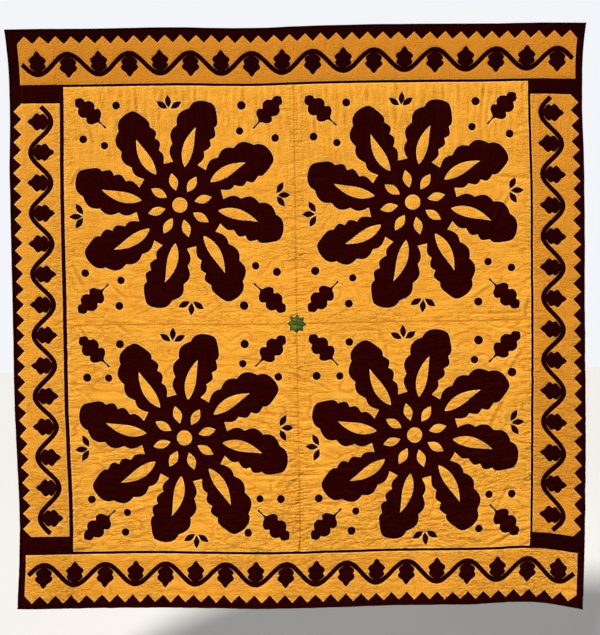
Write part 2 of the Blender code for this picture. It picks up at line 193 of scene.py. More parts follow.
def plain_weave_group():
    """Weave, slubs, mottled dye and fine creases, read in flat metres."""
    tree = bpy.data.node_groups.new("plain_weave", "ShaderNodeTree")
    tree.interface.new_socket(name="Flat place", in_out="INPUT", socket_type="NodeSocketVector")
    for words in ("Level creasing", "Upright creasing"):
        tree.interface.new_socket(name=words, in_out="INPUT", socket_type="NodeSocketFloat")
    for words in ("Mottle", "Slub", "Fold", "Height"):
        tree.interface.new_socket(name=words, in_out="OUTPUT", socket_type="NodeSocketFloat")
    given = tree.nodes.new("NodeGroupInput").outputs
    place = given["Flat place"]
    parts = tree.nodes.new("ShaderNodeSeparateXYZ")
    tree.links.new(place, parts.inputs[0])
    threads = [
        math_node(tree, "SINE", math_node(tree, "MULTIPLY", part, math.pi * THREADS_PER_METRE))
        for part in parts.outputs[:2]]
    weave = math_node(tree, "MULTIPLY", *threads)
    slubs = [noise_node(tree, place, noise) for noise in (WEFT_SLUBS, WARP_SLUBS)]
    slub = math_node(tree, "MULTIPLY", math_node(tree, "ADD", *slubs), 0.5)
    level = either_way(tree, place, LEVEL_CREASES)
    level = with_share(tree, level, either_way(tree, place, RUMPLES), RUMPLE_HEIGHT)
    thin = thin_creases(tree, place, THIN_LEVEL_CREASES, THIN_LEVEL_BREADTH)
    level = with_share(tree, level, thin, THIN_LEVEL_HEIGHT)
    upright = either_way(tree, place, UPRIGHT_CREASES)
    thin = thin_creases(tree, place, THIN_UPRIGHT_CREASES, THIN_UPRIGHT_BREADTH)
    upright = with_share(tree, upright, thin, THIN_UPRIGHT_HEIGHT)
    fold = math_node(tree, "MULTIPLY", level, given["Level creasing"])
    fold = with_share(tree, fold, upright, given["Upright creasing"])
    crepe_height = with_share(tree, CREPE_HEIGHT, given["Level creasing"], CREPE_HEIGHT_WHERE_CREASED)
    fold = with_share(tree, fold, either_way(tree, place, CREPE), crepe_height)
    height = math_node(tree, "MULTIPLY", weave, WEAVE_HEIGHT)
    height = math_node(tree, "ADD", with_share(tree, height, slub, SLUB_HEIGHT), fold)
    result = tree.nodes.new("NodeGroupOutput").inputs
    made = {"Mottle": noise_node(tree, place, DYE_MOTTLE), "Slub": slub, "Fold": fold, "Height": height}
    for words, value in made.items():
        tree.links.new(value, result[words])
    return tree


plain_weave = plain_weave_group()

# Share of the painted ridge highlight and trough shade in the cloth tone
RIDGE_LIGHT_AND_TROUGH_SHADE = 0.25
# Mottle and slubs are the dye's own unevenness; the Fold share is painted shade in fold troughs and
# painted light on their crests
MOTTLE_SLUB_AND_FOLD_SHADE_TONES = {"Fold": 0.35, "Mottle": 0.3, "Slub": 0.5}
DEEP_TO_EVEN = (0.32, 0.55)
EVEN_TO_PALE = (0.55, 0.85)
LINE_FADE = 1.5
# How far the seams are darkened with painted shade
SEAM_SHADE = 0.7
CLOTH_ROUGHNESS = 0.92
CLOTH_BUMP = 0.0105
# The colour at sewn edges is painted light: a painted highlight on the gold, painted shade on the other
# cloths
Dye = namedtuple("Dye", "deep even pale at_line line_share gloss")


def attribute_node(tree, words):
    """A value that the cloth carries at its points."""
    node = tree.nodes.new("ShaderNodeAttribute")
    node.attribute_name = words
    return node.outputs["Fac"]


def cotton(name, dye):
    """Dyed cotton, mottled deep to even with pale threads, with painted shade and highlights on its
    creases, painted edge shading along sewn lines, and painted shade along seams and on the borders.
    """
    material = bpy.data.materials.new(name)
    material.use_nodes = True
    tree = material.node_tree
    shader = tree.nodes["Principled BSDF"]
    place = tree.nodes.new("ShaderNodeUVMap")
    place.uv_map = "flat_metres"
    cloth = tree.nodes.new("ShaderNodeGroup")
    cloth.node_tree = plain_weave
    tree.links.new(place.outputs["UV"], cloth.inputs["Flat place"])
    tree.links.new(attribute_node(tree, "level_creasing"), cloth.inputs["Level creasing"])
    tree.links.new(attribute_node(tree, "upright_creasing"), cloth.inputs["Upright creasing"])
    # A painted highlight where the relief stands high and painted shade where it sinks
    tone = math_node(tree, "MULTIPLY", attribute_node(tree, "raised"), RIDGE_LIGHT_AND_TROUGH_SHADE)
    # The Fold share paints shade into the fine folds; Mottle and Slub are real dye unevenness
    for words, share in MOTTLE_SLUB_AND_FOLD_SHADE_TONES.items():
        tone = with_share(tree, tone, cloth.outputs[words], share)
    mottled = mix_colour(tree, spread(tree, tone, *DEEP_TO_EVEN), dye.deep, dye.even)
    mottled = mix_colour(tree, spread(tree, tone, *EVEN_TO_PALE), mottled, dye.pale)
    # Along sewn edges: a painted highlight on the gold, painted shade on the dark cloth, backing and
    # green
    sewn = math_node(tree, "POWER", attribute_node(tree, "sewn_line"), LINE_FADE)
    sewn = math_node(tree, "MULTIPLY", sewn, dye.line_share)
    coloured = mix_colour(tree, sewn, mottled, dye.at_line)
    # Painted shade along the seams and the binding's inner edge, in the dye's deep colour
    seam = math_node(tree, "MULTIPLY", attribute_node(tree, "seam_line"), SEAM_SHADE)
    coloured = mix_colour(tree, seam, coloured, dye.deep)
    # Painted shade on the borders, darkening them towards the dye's deep colour
    coloured = mix_colour(tree, attribute_node(tree, "soiling"), coloured, dye.deep)
    tree.links.new(coloured, shader.inputs["Base Color"])
    shader.inputs["Roughness"].default_value = CLOTH_ROUGHNESS
    shader.inputs["Specular IOR Level"].default_value = dye.gloss
    bump = tree.nodes.new("ShaderNodeBump")
    bump.inputs["Strength"].default_value = 1.0
    bump.inputs["Distance"].default_value = CLOTH_BUMP
    tree.links.new(cloth.outputs["Height"], bump.inputs["Height"])
    tree.links.new(bump.outputs["Normal"], shader.inputs["Normal"])
    return material


gold_cotton = cotton("gold_cotton", Dye(
    deep=(0.54, 0.186, 0.010, 1), even=(0.78, 0.328, 0.025, 1), pale=(0.92, 0.455, 0.060, 1),
    at_line=(1.0, 0.62, 0.22, 1), line_share=0.75, gloss=0.15))
backing_cotton = cotton("backing_cotton", Dye(
    deep=(0.58, 0.52, 0.42, 1), even=(0.70, 0.64, 0.53, 1), pale=(0.78, 0.73, 0.62, 1),
    at_line=(0.60, 0.54, 0.44, 1), line_share=0.5, gloss=0.15))

Block = namedtuple("Block", "row column left right top bottom")
BLOCKS = (
    Block("top", "left", FIELD_LEFT, SEAM_ACROSS, FIELD_TOP, SEAM_DEPTH),
    Block("top", "right", SEAM_ACROSS, FIELD_RIGHT, FIELD_TOP, SEAM_DEPTH),
    Block("bottom", "left", FIELD_LEFT, SEAM_ACROSS, SEAM_DEPTH, FIELD_BOTTOM),
    Block("bottom", "right", SEAM_ACROSS, FIELD_RIGHT, SEAM_DEPTH, FIELD_BOTTOM),
)
for block in BLOCKS:
    piece = ground_panel(
        f"quilted_block_{block.row}_{block.column}", block, BLOCK_SPACING, gold_cotton)
    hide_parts(f"field_block_{block.row}_{block.column}")

# The narrow dark strips round the field, and the dark oxblood borders outside them.
# They are cotton over the same batting, pieced on edge to edge.
# Top and bottom borders run the full width, and the side borders stand between them.

TOP_STRIP = 0.0094
BOTTOM_STRIP = 0.0095
LEFT_STRIP = 0.0145
RIGHT_STRIP = 0.0090
BINDING_CLOTH = 0.001
STRIP_SPACING = (0.0046, 0.0040)
BORDER_SPACING = (0.0075, 0.0060)

oxblood_cotton = cotton("oxblood_cotton", Dye(
    deep=(0.012, 0.0001, 0.0001, 1), even=(0.019, 0.0002, 0.0002, 1), pale=(0.038, 0.002, 0.001, 1),
    at_line=(0.0020, 0.0002, 0.0002, 1), line_share=0.9, gloss=0.015))

strip_left = FIELD_LEFT - LEFT_STRIP
strip_right = FIELD_RIGHT + RIGHT_STRIP
strip_top = FIELD_TOP - TOP_STRIP
strip_bottom = FIELD_BOTTOM + BOTTOM_STRIP
edge_left = -HALF_WIDTH + BINDING_CLOTH
edge_right = HALF_WIDTH - BINDING_CLOTH
edge_top = BINDING_CLOTH
edge_bottom = DROP - BINDING_CLOTH
Panel = namedtuple("Panel", "side left right top bottom")
STRIPS = (
    Panel("top", strip_left, strip_right, strip_top, FIELD_TOP),
    Panel("bottom", strip_left, strip_right, FIELD_BOTTOM, strip_bottom),
    Panel("left", strip_left, FIELD_LEFT, FIELD_TOP, FIELD_BOTTOM),
    Panel("right", FIELD_RIGHT, strip_right, FIELD_TOP, FIELD_BOTTOM),
)
BORDERS = (
    Panel("top", edge_left, edge_right, edge_top, strip_top),
    Panel("bottom", edge_left, edge_right, strip_bottom, edge_bottom),
    Panel("left", edge_left, strip_left, strip_top, strip_bottom),
    Panel("right", strip_right, edge_right, strip_top, strip_bottom),
)
sewn_on_border = {}
for strip in STRIPS:
    piece = ground_panel(f"pieced_strip_{strip.side}", strip, STRIP_SPACING, oxblood_cotton)
    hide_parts(f"strip_{strip.side}")
    sewn_on_border[strip.side] = [piece]
for border in BORDERS:
    piece = ground_panel(f"quilted_border_{border.side}", border, BORDER_SPACING, oxblood_cotton)
    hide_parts(f"border_{border.side}")

# The gold bands, cut from the same gold cotton and sewn flat on the dark borders.
# Their inner edge is straight along the narrow strip, and their outer edge a row of dogteeth.
# Each edge is turned under, so it stands a little proud of the border.

BAND_CLEARANCE = 0.001
TOOTH_HEIGHT = 0.030
TEETH_PER_WAVE = 4
TOOTH_UNEVENNESS = 0.0010
BAND_SPACING = 0.0055
BAND_EDGE_SPACING = 0.0044
CLEAR_OF_EDGE = 0.62
TURNED_EDGE = 0.0014
SAME_POINT = 1e-7
Band = namedtuple("Band", "side start end tips inner waves")
BANDS = (
    Band("top", -1.0766, 1.0917, 0.030, strip_top, 9),
    Band("bottom", -1.0930, 1.0930, 0.0227, DROP - strip_bottom, 9),
    Band("left", 0.2928, 1.9900, 0.016, HALF_WIDTH + strip_left, 7),
    Band("right", 0.2794, 1.9980, 0.016, HALF_WIDTH - strip_right, 7),
)
SewnShape = namedtuple("SewnShape", "outlines layer dark")
sewn_shapes = []


def outline_edges(outlines):
    """The start and end of every edge of some closed outlines."""
    starts = numpy.concatenate([numpy.array(outline) for outline in outlines])
    ends = numpy.concatenate([numpy.roll(numpy.array(outline), -1, axis=0) for outline in outlines])
    return starts, ends


def crossings(edges, depth):
    """Where a level line crosses the outlines, from left to right."""
    starts, ends = edges
    crossed = (starts[:, 1] <= depth) != (ends[:, 1] <= depth)
    here = starts[crossed]
    there = ends[crossed]
    share = (depth - here[:, 1]) / (there[:, 1] - here[:, 1])
    return numpy.sort(here[:, 0] + share * (there[:, 0] - here[:, 0]))


def sewn_piece(name, outlines, layer, spacing, colour, dark):
    """Cloth cut to its outlines, filled with even triangles, its edge turned back all round."""
    edges = outline_edges(outlines)
    rim_points = edges[0]
    rim_tree = KDTree(len(rim_points))
    for index, (across, depth) in enumerate(rim_points):
        rim_tree.insert((across, depth, 0), index)
    rim_tree.balance()
    points = [Vector(point) for point in rim_points]
    left, top = rim_points.min(axis=0)
    right, bottom = rim_points.max(axis=0)
    row_height = spacing * math.sin(math.radians(60))
    for row in range(1, int((bottom - top) / row_height) + 1):
        depth = top + row * row_height
        stops = crossings(edges, depth)
        places = numpy.arange(left + (row % 2) * spacing / 2, right, spacing)
        for across in places[numpy.searchsorted(stops, places) % 2 == 1]:
            if rim_tree.find((across, depth, 0))[2] > spacing * CLEAR_OF_EDGE:
                points.append(Vector((across, depth)))
    rim_edges = []
    first = 0
    for outline in outlines:
        count = len(outline)
        rim_edges += [(first + step, first + (step + 1) % count) for step in range(count)]
        first += count
    placed, _, triangles, *_ = delaunay_2d_cdt(points, rim_edges, [], 1, SAME_POINT, False)
    mesh = bmesh.new()
    verts = [mesh.verts.new((point.x, -CLOTH_THICKNESS / 2, -point.y)) for point in placed]
    for triangle in triangles:
        corners = [placed[index] for index in triangle]
        if max(triangle) < len(rim_points):
            middle = (corners[0] + corners[1] + corners[2]) / 3
            if numpy.searchsorted(crossings(edges, middle.y), middle.x) % 2 == 0:
                continue
        mesh.faces.new([verts[index] for index in triangle])
    bmesh.ops.delete(mesh, geom=[vert for vert in mesh.verts if not vert.link_faces], context="VERTS")
    for face in mesh.faces:
        face.normal_update()
        if face.normal.y > 0:
            face.normal_flip()
    rim = [edge for edge in mesh.edges if edge.is_boundary]
    turned = bmesh.ops.extrude_edge_only(mesh, edges=rim)
    hem = [item for item in turned["geom"] if isinstance(item, bmesh.types.BMVert)]
    bmesh.ops.translate(mesh, verts=hem, vec=(0, TURNED_EDGE, 0))
    piece = keep_flat(mesh, name, layer)
    piece.data.materials.append(colour)
    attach(piece, "root")
    sewn_shapes.append(SewnShape(outlines, layer, dark))
    return piece


def side_place(side, along, inward):
    """A place along one side of the quilt and in from its edge, as across and depth."""
    return {
        "top": (along, inward),
        "bottom": (along, DROP - inward),
        "left": (inward - HALF_WIDTH, along),
        "right": (HALF_WIDTH - inward, along),
    }[side]


def with_points_between(corners, spacing):
    """A closed outline's corners with even points on its long sides."""
    outline = []
    for here, there in zip(corners, corners[1:] + corners[:1]):
        steps = max(1, round(math.dist(here, there) / spacing))
        for step in range(steps):
            share = step / steps
            outline.append(tuple(first + (last - first) * share for first, last in zip(here, there)))
    return outline


def band_outline(band, cutting):
    """A gold strip, straight inside and toothed outside, the teeth cut by hand."""
    place = partial(side_place, band.side)
    teeth = band.waves * TEETH_PER_WAVE
    pitch = (band.end - band.start) / teeth
    inner = band.inner - BAND_CLEARANCE
    valley = band.tips + TOOTH_HEIGHT
    corners = [place(band.end, inner), place(band.start, inner), place(band.start, valley)]
    for tooth in range(teeth):
        along = band.start + tooth * pitch
        lean = cutting.uniform(-TOOTH_UNEVENNESS, TOOTH_UNEVENNESS)
        reach = cutting.uniform(-TOOTH_UNEVENNESS, TOOTH_UNEVENNESS)
        corners.append(place(along + pitch / 2 + lean, band.tips + reach))
        corners.append(place(along + pitch, valley + lean))
    return with_points_between(corners, BAND_EDGE_SPACING)


tooth_cutting = random.Random(3)
for band in BANDS:
    piece = sewn_piece(
        f"dogtooth_band_{band.side}", [band_outline(band, tooth_cutting)], 1, BAND_SPACING,
        gold_cotton, False)
    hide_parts(f"gold_band_{band.side}")
    sewn_on_border[band.side].append(piece)

# The waving vines on the bands, dark oxblood cotton, each cut in one piece with its leaves.
# A lobed leaf stands in every hollow of the wave, on both sides in turn.
# They are sewn down over the gold.

VINE_WIDTH = 0.018
VINE_RISE = 0.040
VINE_STEPS = 60
VINE_END_MARGIN = 0.012
VINE_SPACING = 0.0052
INNER_HOLLOW = 0.75
OUTER_HOLLOW = 0.25
LEAF_LENGTH = 0.084
LEAF_FOOT = 0.007
LEAF_HALF_WIDTH = 0.033
LEAF_FULLNESS = 0.87
LEAF_LOBES = 2.5
LEAF_LOBE_DEPTH = 0.34
LEAF_STEPS = 34


def vine_leaf(along, foot, way):
    """A lobed leaf standing on the vine, its tip away from the foot."""
    shares = numpy.linspace(0, 1, LEAF_STEPS)
    blade = numpy.sin(numpy.pi * shares ** LEAF_FULLNESS)
    lobes = 1 - LEAF_LOBE_DEPTH * (1 - numpy.abs(numpy.sin(numpy.pi * LEAF_LOBES * shares)))
    widths = LEAF_FOOT * (1 - shares) + (LEAF_HALF_WIDTH * blade) * lobes
    rising = [(along - width, foot + way * LEAF_LENGTH * share) for share, width in zip(shares, widths)]
    falling = [(2 * along - across, inward) for across, inward in rising[-2::-1]]
    return rising + falling


def vine_edge(start, wave, waves, middle, way):
    """One edge of the vine, with a leaf in each hollow on its side."""
    points = []
    for step in range(waves * VINE_STEPS + 1):
        phase = 2 * math.pi * step / VINE_STEPS
        lean = math.atan(2 * math.pi * VINE_RISE / wave * math.cos(phase))
        along = start + step * wave / VINE_STEPS - way * math.sin(lean) * VINE_WIDTH / 2
        inward = middle + VINE_RISE * math.sin(phase) + way * math.cos(lean) * VINE_WIDTH / 2
        points.append((along, inward))
    hollow = INNER_HOLLOW if way > 0 else OUTER_HOLLOW
    for turn in range(waves):
        along = start + (turn + hollow) * wave
        foot = middle - way * (VINE_RISE - VINE_WIDTH / 2)
        before = [point for point in points if point[0] < along - LEAF_FOOT]
        after = [point for point in points if point[0] > along + LEAF_FOOT]
        points = before + vine_leaf(along, foot, way) + after
    return points


for band in BANDS:
    place = partial(side_place, band.side)
    start = band.start + VINE_END_MARGIN
    wave = (band.end - band.start - 2 * VINE_END_MARGIN) / band.waves
    middle = (band.tips + TOOTH_HEIGHT + band.inner) / 2
    inner_edge = vine_edge(start, wave, band.waves, middle, 1)
    outer_edge = vine_edge(start, wave, band.waves, middle, -1)
    outline = [place(along, inward) for along, inward in inner_edge + outer_edge[::-1]]
    piece = sewn_piece(f"leafy_vine_{band.side}", [outline], 2, VINE_SPACING, oxblood_cotton, True)
    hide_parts(f"vine_{band.side}")
    sewn_on_border[band.side].append(piece)

# The feather wreaths, one in the middle of each block, dark oxblood cotton.
# Eight scalloped plumes curl from a hub, with teardrops and petals cut out for the gold to show.
# No two are quite the same size or turn, as they are cut by hand.

PLUMES = 8
HUB_RADIUS = 0.165
WREATH_REACH = 0.415
WREATH_TURN = 0.15
PLUME_FILL = 0.345
PLUME_TAPER = 2.0
PLUME_ROUNDNESS = 0.60
PLUME_CURL = 0.20
PLUME_LOBES = 4
LOBE_DEPTH = 0.17
PLUME_STEPS = 96
SPINE_STEP = 0.01
SLIT_START = -0.06
SLIT_END = 0.60
SLIT_HALF_WIDTH = 0.021
SLIT_FULLNESS = 0.80
PETAL_START = 0.058
PETAL_END = 0.130
PETAL_HALF_WIDTH = 0.017
CUT_OUT_STEPS = 44
PETAL_STEPS = 20
HUB_HOLE_RADIUS = 0.030
HUB_HOLE_SIDES = 44
HAND_UNEVENNESS = 0.018
WREATH_TURN_UNEVENNESS = 0.03
APPLIQUE_SPACING = 0.0050


def moved(points, across, depth, angle=0.0):
    """An outline turned about its own origin and laid on the quilt, its y towards the hem."""
    turn = Matrix.Rotation(angle, 2)
    return [(across + spot.x, depth + spot.y) for spot in (turn @ Vector(point) for point in points)]


def plume_spine(share, reach):
    """A point on the middle line of a plume, which curls as it leaves the hub."""
    radius = HUB_RADIUS + (reach - HUB_RADIUS) * share
    angle = PLUME_CURL * share * abs(share)
    return Vector((radius * math.cos(angle), radius * math.sin(angle)))


def beside_spine(share, reach, distance):
    """A point at a distance to one side of the plume's middle line."""
    ahead = plume_spine(share + SPINE_STEP, reach) - plume_spine(share - SPINE_STEP, reach)
    return tuple(plume_spine(share, reach) + Vector((-ahead.y, ahead.x)).normalized() * distance)


def plume_half_width(share, reach):
    """Broad at the hub, closing to the tip, scalloped into lobes."""
    broad = (1.0 - share ** PLUME_TAPER) ** PLUME_ROUNDNESS
    scallop = 1.0 - LOBE_DEPTH * (1.0 - abs(math.sin(math.pi * PLUME_LOBES * share)))
    return plume_spine(share, reach).length * PLUME_FILL * broad * scallop


def plume_outline(reach):
    """Up one side of a plume to its tip and down the other."""
    shares = [step / PLUME_STEPS for step in range(PLUME_STEPS)]
    up = [beside_spine(share, reach, -plume_half_width(share, reach)) for share in shares]
    down = [beside_spine(share, reach, plume_half_width(share, reach)) for share in reversed(shares)]
    return up + [tuple(plume_spine(1.0, reach))] + down


def teardrop(reach):
    """The cut-out along the middle of a plume."""
    one_side = []
    other_side = []
    for step in range(CUT_OUT_STEPS):
        share = step / CUT_OUT_STEPS
        along = SLIT_START + (SLIT_END - SLIT_START) * share
        width = SLIT_HALF_WIDTH * math.sin(math.pi * share ** SLIT_FULLNESS)
        one_side.append(beside_spine(along, reach, -width))
        other_side.append(beside_spine(along, reach, width))
    return one_side + [tuple(plume_spine(SLIT_END, reach))] + other_side[:0:-1]


def petal(start, end, half_width):
    """A lens shape along +X."""
    one_side = []
    for step in range(PETAL_STEPS + 1):
        share = step / PETAL_STEPS
        one_side.append((start + (end - start) * share, half_width * math.sin(math.pi * share)))
    return one_side + [(across, -width) for across, width in one_side[-2:0:-1]]


def circle(radius, sides):
    """A round outline about the origin."""
    turns = [2 * math.pi * side / sides for side in range(sides)]
    return [(radius * math.cos(turn), radius * math.sin(turn)) for turn in turns]


def wreath_outlines(across, depth, turn, hand):
    """The wreath's outline and all its cut-outs."""
    outline = []
    holes = [moved(circle(HUB_HOLE_RADIUS, HUB_HOLE_SIDES), across, depth)]
    for plume in range(PLUMES):
        reach = WREATH_REACH * (1.0 + hand.uniform(-HAND_UNEVENNESS, HAND_UNEVENNESS))
        angle = turn + 2 * math.pi * plume / PLUMES
        outline += moved(plume_outline(reach), across, depth, angle)
        holes.append(moved(teardrop(reach), across, depth, angle))
        hub_petal = petal(PETAL_START, PETAL_END, PETAL_HALF_WIDTH)
        holes.append(moved(hub_petal, across, depth, angle + math.pi / PLUMES))
    return [with_points_between(outline, APPLIQUE_SPACING)] + holes


# The lobed leaves on their stalks, one pointing into each corner of every block.
# They are the same dark cotton, and are cut in turn with the wreath beside them.

CORNER_LEAF_LENGTH = 0.165
CORNER_LEAF_INSET = 0.105
CORNER_LEAF_TURN_UNEVENNESS = 0.06
CORNER_LEAF_STEPS = 64
LeafWidth = namedtuple("LeafWidth", "share half_width")
CORNER_LEAF_WIDTHS = [LeafWidth(*row) for row in (
    (0.00, 0.0035), (0.20, 0.0038), (0.23, 0.0055), (0.29, 0.0240), (0.38, 0.0350),
    (0.46, 0.0320), (0.50, 0.0235), (0.56, 0.0330), (0.66, 0.0370), (0.75, 0.0300),
    (0.80, 0.0185), (0.86, 0.0210), (0.94, 0.0150), (1.00, 0.0000),
)]


def on_soft_curve(rows, key, value, at):
    """A table's value at many places, on a soft curve through its rows."""
    places = numpy.array([getattr(row, key) for row in rows])
    values = numpy.array([getattr(row, value) for row in rows])
    slopes = numpy.gradient(values, places)
    here = numpy.clip(numpy.searchsorted(places, at) - 1, 0, len(places) - 2)
    span = places[here + 1] - places[here]
    share = numpy.clip((at - places[here]) / span, 0, 1)
    other = 1 - share
    start = values[here] * (1 + 2 * share) + slopes[here] * span * share
    end = values[here + 1] * (3 - 2 * share) - slopes[here + 1] * span * other
    return start * other ** 2 + end * share ** 2


def corner_leaf_outline(size):
    """A lobed leaf on its stalk, its middle at the origin and its tip along +X."""
    shares = numpy.linspace(0, 1, CORNER_LEAF_STEPS)
    widths = on_soft_curve(CORNER_LEAF_WIDTHS, "share", "half_width", shares)
    rising = [((share - 0.5) * CORNER_LEAF_LENGTH * size, -width * size)
              for share, width in zip(shares, widths)]
    falling = [(across, -width) for across, width in rising[-2::-1]]
    return rising + falling


block_sewing = {}
hand = random.Random(7)
for block in BLOCKS:
    words = f"{block.row}_{block.column}"
    turn = WREATH_TURN + hand.uniform(-WREATH_TURN_UNEVENNESS, WREATH_TURN_UNEVENNESS)
    across = (block.left + block.right) / 2
    depth = (block.top + block.bottom) / 2
    wreath = sewn_piece(
        f"plumed_wreath_{words}", wreath_outlines(across, depth, turn, hand), 1,
        APPLIQUE_SPACING, oxblood_cotton, True)
    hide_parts(f"feather_wreath_{words}")
    block_sewing[block] = [wreath]
    for down, corner_depth in (("upper", block.top), ("lower", block.bottom)):
        for side, corner_across in (("left", block.left), ("right", block.right)):
            step_across = math.copysign(CORNER_LEAF_INSET, across - corner_across)
            step_depth = math.copysign(CORNER_LEAF_INSET, depth - corner_depth)
            angle = math.atan2(-step_depth, -step_across)
            angle += hand.uniform(-1, 1) * CORNER_LEAF_TURN_UNEVENNESS
            size = 1.0 + hand.uniform(-HAND_UNEVENNESS, HAND_UNEVENNESS)
            outline = moved(
                corner_leaf_outline(size), corner_across + step_across,
                corner_depth + step_depth, angle)
            leaf = sewn_piece(
                f"lobed_leaf_{words}_{down}_{side}",
                [with_points_between(outline, APPLIQUE_SPACING)], 1,
                APPLIQUE_SPACING, oxblood_cotton, True)
            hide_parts(f"corner_leaf_{words}_{down}_{side}")
            block_sewing[block].append(leaf)

# The berries beside the corner leaves, and sprigs of three buds between the plumes.
# They are small cuts of the dark cotton, and those of a block are one mesh.

BERRY_RADIUS = 0.016
INNER_BERRY_RADIUS = 0.0144
BERRY_UNEVENNESS = 0.072
BERRY_NEAR = 0.075
BERRY_FAR = 0.205
BERRY_SIDES = 30
INNER_BERRY_REACH = 0.376
INNER_BERRY_TURN = math.radians(39)
SPRIG_REACH = 0.376
SPRIG_TURN = math.radians(-6)
BUD_START = 0.008
BUD_END = 0.058
BUD_HALF_WIDTH = 0.0115
BUD_SPREAD = math.radians(58)
BUD_UNEVENNESS = 0.1

for block in BLOCKS:
    berries = []
    middle = Vector(((block.left + block.right) / 2, (block.top + block.bottom) / 2))
    for quarter in range(4):
        turn = math.pi / 2 * quarter
        outwards = Vector((math.cos(turn + INNER_BERRY_TURN), math.sin(turn + INNER_BERRY_TURN)))
        berry = middle + outwards * INNER_BERRY_REACH
        berries.append(moved(circle(INNER_BERRY_RADIUS, BERRY_SIDES), berry.x, berry.y))
        outwards = Vector((math.cos(turn + SPRIG_TURN), math.sin(turn + SPRIG_TURN)))
        joint = middle + outwards * SPRIG_REACH
        for lean in (-BUD_SPREAD, 0, BUD_SPREAD):
            bud = petal(BUD_START, BUD_END, BUD_HALF_WIDTH)
            angle = turn + lean + hand.uniform(-BUD_UNEVENNESS, BUD_UNEVENNESS)
            berries.append(moved(bud, joint.x, joint.y, angle))
    for corner_depth, down in ((block.top, 1), (block.bottom, -1)):
        for corner_across, inwards in ((block.left, 1), (block.right, -1)):
            for step_across, step_depth in ((BERRY_NEAR, BERRY_FAR), (BERRY_FAR, BERRY_NEAR)):
                radius = BERRY_RADIUS * (1.0 + hand.uniform(-BERRY_UNEVENNESS, BERRY_UNEVENNESS))
                berries.append(moved(
                    circle(radius, BERRY_SIDES),
                    corner_across + inwards * step_across, corner_depth + down * step_depth))
    piece = sewn_piece(
        f"berries_and_buds_{block.row}_{block.column}", berries, 1, APPLIQUE_SPACING,
        oxblood_cotton, True)
    block_sewing[block].append(piece)

# The green star over the crossing of the seams, cut with eight blunt points.
# It is printed cotton, turned under and sewn down over the corners of all four blocks.

STAR_POINTS = 8
STAR_TIP = 0.038
STAR_NOTCH = 0.027
STAR_TURN = math.radians(4)
STAR_SPACING = 0.0035

green_print = cotton("green_print", Dye(
    deep=(0.030, 0.042, 0.004, 1), even=(0.055, 0.075, 0.007, 1), pale=(0.19, 0.24, 0.07, 1),
    at_line=(0.014, 0.020, 0.003, 1), line_share=0.7, gloss=0.05))
corners = []
for corner in range(2 * STAR_POINTS):
    radius = STAR_TIP if corner % 2 == 0 else STAR_NOTCH
    angle = math.pi * corner / STAR_POINTS
    corners.append((radius * math.cos(angle), radius * math.sin(angle)))
outline = with_points_between(moved(corners, SEAM_ACROSS, SEAM_DEPTH, STAR_TURN), STAR_SPACING)
star = sewn_piece("green_star", [outline], 1, STAR_SPACING, green_print, True)
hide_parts("centre_star")
block_sewing[BLOCKS[0]].append(star)

# The binding, a folded strip of the dark cotton over the whole edge, front and back.
# It is turned in and sewn down along its inner edges, top and bottom first, then the sides.

BINDING_WIDTH = 0.009
BINDING_FRONT = 0.0034
BINDING_STEP = 0.008
BINDING_ARC_STEPS = 7
BINDING_TURN_IN = 0.0006


def binding_section():
    """The folded strip's cut end, as distance in from the edge and layer."""
    outer = []
    inner = []
    for step in range(BINDING_ARC_STEPS + 1):
        angle = math.pi * (0.5 + step / BINDING_ARC_STEPS)
        for line, radius in ((outer, BINDING_FRONT), (inner, BINDING_FRONT - BINDING_CLOTH)):
            line.append((BINDING_FRONT + radius * math.cos(angle), -radius * math.sin(angle)))
    flap = BINDING_WIDTH - BINDING_CLOTH
    front = [(BINDING_WIDTH, BINDING_TURN_IN - BINDING_FRONT), (flap, -BINDING_FRONT)]
    back = [(flap, BINDING_FRONT), (BINDING_WIDTH, BINDING_FRONT - BINDING_TURN_IN)]
    return front + outer + back + inner[::-1]


Binding = namedtuple("Binding", "side start end direction")
BINDINGS = (
    Binding("top", -HALF_WIDTH, HALF_WIDTH, Vector((1, 0, 0))),
    Binding("bottom", -HALF_WIDTH, HALF_WIDTH, Vector((1, 0, 0))),
    Binding("left", BINDING_WIDTH, DROP - BINDING_WIDTH, Vector((0, 0, -1))),
    Binding("right", BINDING_WIDTH, DROP - BINDING_WIDTH, Vector((0, 0, -1))),
)
for side, start, end, direction in BINDINGS:
    mesh = bmesh.new()
    ring = []
    for inward, layer in binding_section():
        across, depth = side_place(side, start, inward)
        ring.append(mesh.verts.new((across, layer, -depth)))
    ring_edges = [mesh.edges.new((here, there)) for here, there in zip(ring, ring[1:] + ring[:1])]
    steps = round((end - start) / BINDING_STEP)
    bmesh.ops.spin(
        mesh, geom=ring + ring_edges, cent=(0, 0, 0), axis=(0, 1, 0),
        dvec=direction * (end - start) / steps, angle=0.0, steps=steps,
        use_merge=False, use_duplicate=False)
    bmesh.ops.holes_fill(mesh, edges=[edge for edge in mesh.edges if edge.is_boundary], sides=0)
    bmesh.ops.recalc_face_normals(mesh, faces=mesh.faces[:])
    piece = keep_flat(mesh, f"folded_binding_{side}", 0)
    piece.data.materials.append(oxblood_cotton)
    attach(piece, "root")
    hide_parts(f"binding_{side}")
    sewn_on_border[side].append(piece)

# The quilting, which draws the cloth in along every sewn outline and seam.
# Maps of the flat quilt say where cloth of each colour lies and how near the sewing is.
# The cloth is puffed between the lines, puckered along the seams and creased.

